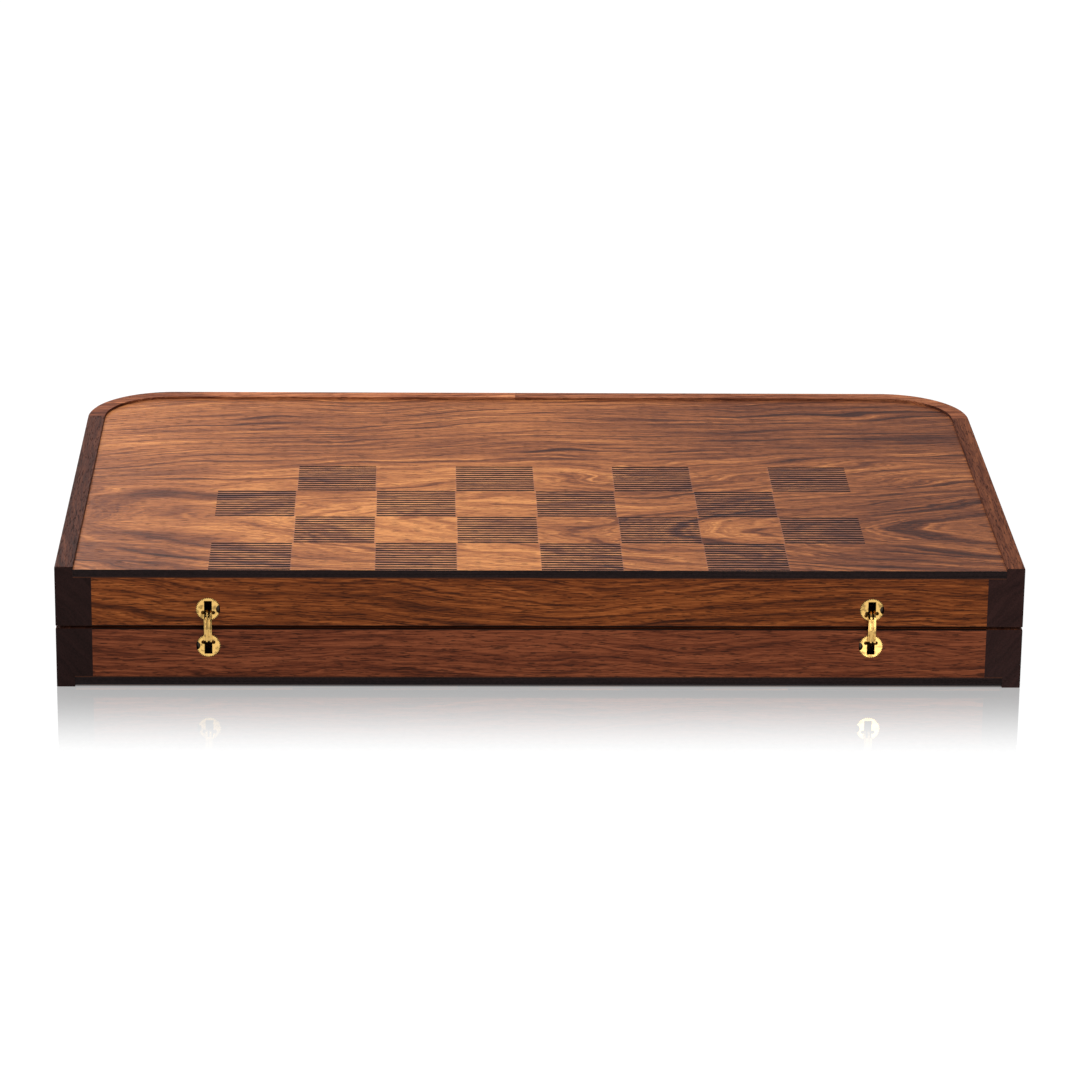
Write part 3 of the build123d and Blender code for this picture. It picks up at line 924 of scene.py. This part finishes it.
class BACKGAMMON_OT_dice(bpy.types.Operator):
    """Finish the dice and ink their pips"""

    bl_idname = "backgammon.dice"
    bl_label = "Ink Dice"

    def execute(self, context):
        dice = context.scene.backgammon_dice
        bodies = {"light": resin("ivory_resin", tuple(dice.light), shade(204, 188, 158)),
                  "dark": resin("brown_resin", tuple(dice.dark), shade(92, 54, 36))}
        inks = {"light": paint("dark_ink", shade(30, 22, 20)),
                "dark": paint("pale_ink", shade(232, 224, 204))}
        turns = {"light_die_1": 14, "light_die_2": -22, "dark_die_1": 31, "dark_die_2": -8}
        pattern = pip_pattern()
        for node, degrees in turns.items():
            colour = node.split("_")[0]
            bodies[colour].assign(node)
            low, high = (Vector(corner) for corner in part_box(node))
            centre = (low + high) / 2
            turn = Matrix.Rotation(math.radians(degrees), 3, "Z")
            across, ahead, up = (turn @ Vector(axis) for axis in ((1, 0, 0), (0, 1, 0), (0, 0, 1)))
            faces = [(up, 6), (-up, 1), (across, 5), (-across, 2), (ahead, 4), (-ahead, 3)]
            spots, facings = [], []
            for normal, count in faces:
                side = across if abs(normal.z) > 0.5 else up
                other = normal.cross(side)
                bottom = centre + normal * (dice.size / 2 - dice.pip_depth + INK_PLAY)
                for i, j in PIPS[count]:
                    spots.append(bottom + (side * i + other * j) * dice.pip_step)
                    facings.append(normal)
            piece = pattern.run(f"{node}_pips", marks("pips", spots, facings), {
                "Radius": dice.pip_radius - INK_PLAY, "Depth": INK_THICKNESS,
                "Material": inks[colour].material})
            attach(piece, node)
        return {"FINISHED"}


class BACKGAMMON_OT_doubling_cube(bpy.types.Operator):
    """Finish the doubling cube and set its six numbers"""

    bl_idname = "backgammon.doubling_cube"
    bl_label = "Number Cube"

    def execute(self, context):
        dice = context.scene.backgammon_dice
        cream = resin("cream_resin", tuple(dice.cube), shade(210, 194, 164))
        cream.assign("doubling_cube")
        ink = paint("number_ink", tuple(dice.number))
        low, high = (Vector(corner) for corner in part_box("doubling_cube"))
        centre, size = (low + high) / 2, high[0] - low[0]
        turns = [("64", Matrix.Identity(3)), ("2", Matrix.Rotation(math.pi, 3, "X"))]
        for step, number in enumerate(("4", "8", "16", "32")):
            about = Matrix.Rotation(math.pi / 2 * step, 3, "Z")
            turns.append((number, about @ Matrix.Rotation(math.pi / 2, 3, "X")))
        for number, turn in turns:
            curve = bpy.data.curves.new(f"number_{number}", "FONT")
            curve.body = number
            curve.size = size * 0.62
            curve.extrude = INK_THICKNESS / 2
            curve.align_x = "CENTER"
            curve.align_y = "CENTER"
            source = new_piece("number_outline", curve)
            graph = context.evaluated_depsgraph_get()
            mesh = bpy.data.meshes.new_from_object(source.evaluated_get(graph))
            bpy.data.objects.remove(source)
            columns = [[vertex.co[axis] for vertex in mesh.vertices] for axis in (0, 1)]
            middle = [(min(column) + max(column)) / 2 for column in columns]
            for vertex in mesh.vertices:
                flat = vertex.co - Vector((*middle, 0.0))
                vertex.co = centre + turn @ (flat + Vector((0.0, 0.0, size / 2)))
            piece = new_piece(f"cube_number_{number}", mesh)
            mesh.materials.append(ink.material)
            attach(piece, "doubling_cube")
        return {"FINISHED"}


def soft_box(name, location, size, power):
    """A rectangular studio light aimed at the middle of the case."""
    light = bpy.data.lights.new(name, "AREA")
    light.shape = "RECTANGLE"
    light.size, light.size_y = size
    light.energy = power
    lamp = bpy.data.objects.new(name, light)
    lamp.location = location
    aim = Vector((0.0, 0.0, MIDDLE)) - Vector(location)
    lamp.rotation_euler = aim.to_track_quat("-Z", "Y").to_euler()
    bpy.context.scene.collection.objects.link(lamp)


def floor_finish():
    """Backlit white card whose polish fades away in front of the case."""
    finish = Finish("pale_floor", {"Specular IOR Level": 0.0, "Emission Strength": 1.0})
    x, y, z = finish.split(finish.place())
    grain = finish.noise((x * 300.0, y * 300.0, z), 2.0)
    white = finish.ramp(grain, [(0.3, (0.99, 0.99, 0.99)), (0.7, (1.0, 1.0, 1.0))])
    # Painted shadow: the glowing card is painted dark under the case, where its contact shadow
    # falls.
    past_side = finish.math("MAXIMUM", finish.math("ABSOLUTE", x) - (SIDE - CORNER), 0.0)
    past_back = finish.math("MAXIMUM", y - (BACK - CORNER), 0.0)
    from_middle = (past_side * past_side + past_back * past_back) ** 0.5
    contact_shadow = (finish.rise(y, FRONT, FRONT + 3 * MM)
               * finish.rise(from_middle, CORNER - 6 * MM, CORNER - 2 * MM, 1.0, 0.0))
    finish.set("Emission Color", finish.blend(contact_shadow, white, (0.1, 0.09, 0.09)))
    finish.set("Base Color", finish.ramp(grain, [(0.3, (0.04, 0.04, 0.04)),
                                                 (0.7, (0.05, 0.05, 0.05))]))
    finish.set("Roughness", 0.7 + grain * 0.1)
    polish = (finish.rise(y, FRONT - 0.105, FRONT, 0.0, 0.58)
              * finish.rise(y, FRONT + 0.01, FRONT + 0.04, 1.0, 0.0))
    card = Value(finish, finish.shader.outputs[0])
    mirror = finish.node("ShaderNodeBsdfGlossy", None, {"Color": WHITE, "Roughness": 0.0})
    coated = finish.node("ShaderNodeMixShader", None, {0: polish, 1: card, 2: mirror})
    finish.feed(finish.output.inputs[0], coated)
    return finish


def studio_world(sky_light):
    """Surroundings that look pure white, straight on and in mirrors, but light more softly."""
    world = bpy.data.worlds.new("studio")
    world.use_nodes = True
    nodes = Nodes(world.node_tree)
    nodes.tree.nodes.remove(nodes.tree.nodes["Background"])
    seen = nodes.node("ShaderNodeBackground", None, {"Color": WHITE})
    cast = nodes.node("ShaderNodeBackground", None, {"Color": WHITE, "Strength": sky_light})
    straight = nodes.node("ShaderNodeLightPath", output="Is Camera Ray")
    mirrored = nodes.node("ShaderNodeLightPath", output="Is Singular Ray")
    either = nodes.math("MAXIMUM", straight, mirrored)
    mix = nodes.node("ShaderNodeMixShader", None, {0: either, 1: cast, 2: seen})
    nodes.feed(nodes.tree.nodes["World Output"].inputs[0], mix)
    return world


class BACKGAMMON_OT_stage(bpy.types.Operator):
    """Add the floor, the studio lights and the camera"""

    bl_idname = "backgammon.stage"
    bl_label = "Add Stage"

    def execute(self, context):
        settings = context.scene.backgammon_stage
        reach = settings.floor_size / 2
        corners = [(-reach, -reach, 0), (reach, -reach, 0), (reach, reach, 0), (-reach, reach, 0)]
        sheet = bpy.data.meshes.new("floor")
        sheet.from_pydata(corners, [], [(0, 1, 2, 3)])
        sheet.materials.append(floor_finish().material)
        new_piece("floor", sheet)

        context.scene.world = studio_world(settings.sky_light)
        context.scene.view_settings.view_transform = "Standard"

        soft_box("top_light", (-0.6, 0.3, 1.5), (1.1, 0.9), 30.0)
        soft_box("front_light", (0.5, -1.6, 0.75), (1.1, 0.5), 10.0)
        soft_box("back_light", (-1.1, 1.5, 0.75), (1.4, 0.7), 12.0)

        camera = bpy.data.objects.new("camera", bpy.data.cameras.new("camera"))
        camera.data.sensor_width = 36.0
        camera.data.lens = settings.lens
        camera.data.clip_start = 0.05
        camera.data.clip_end = 50.0
        place = Matrix.Translation((settings.camera_side, FRONT - settings.camera_distance,
                                    settings.camera_height))
        turn = Matrix.Rotation(-settings.camera_turn, 4, "Z")
        pitch = Matrix.Rotation(math.pi / 2 - settings.camera_pitch, 4, "X")
        roll = Matrix.Rotation(settings.camera_roll, 4, "Z")
        camera.matrix_world = place @ turn @ pitch @ roll
        context.scene.collection.objects.link(camera)
        context.scene.camera = camera
        return {"FINISHED"}


OPERATORS = (BACKGAMMON_OT_case, BACKGAMMON_OT_engraving, BACKGAMMON_OT_hinges,
             BACKGAMMON_OT_checkers, BACKGAMMON_OT_dice, BACKGAMMON_OT_doubling_cube,
             BACKGAMMON_OT_stage)
SETTINGS = {"backgammon_case": CaseSettings, "backgammon_hinges": HingeSettings,
            "backgammon_checkers": CheckerSettings, "backgammon_dice": DiceSettings,
            "backgammon_stage": StageSettings}


class BACKGAMMON_PT_panel(bpy.types.Panel):
    """The buttons and settings of the backgammon case"""

    bl_idname = "BACKGAMMON_PT_panel"
    bl_label = "Backgammon Case"
    bl_space_type = "VIEW_3D"
    bl_region_type = "UI"
    bl_category = "Backgammon"

    def draw(self, context):
        for attribute, kind in SETTINGS.items():
            column = self.layout.column()
            for name in kind.__annotations__:
                column.prop(getattr(context.scene, attribute), name)
        for operator in OPERATORS:
            self.layout.operator(operator.bl_idname)


CLASSES = (*SETTINGS.values(), *OPERATORS, BACKGAMMON_PT_panel)


def register():
    for cls in CLASSES:
        bpy.utils.register_class(cls)
    for attribute, kind in SETTINGS.items():
        setattr(bpy.types.Scene, attribute, bpy.props.PointerProperty(type=kind))


def unregister():
    for attribute in SETTINGS:
        delattr(bpy.types.Scene, attribute)
    for cls in reversed(CLASSES):
        bpy.utils.unregister_class(cls)


def main():
    """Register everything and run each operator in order."""
    register()
    bpy.ops.backgammon.case()
    bpy.ops.backgammon.engraving()
    bpy.ops.backgammon.hinges()
    bpy.ops.backgammon.checkers()
    bpy.ops.backgammon.dice()
    bpy.ops.backgammon.doubling_cube()
    bpy.ops.backgammon.stage()


if __name__ == "__main__":
    main()
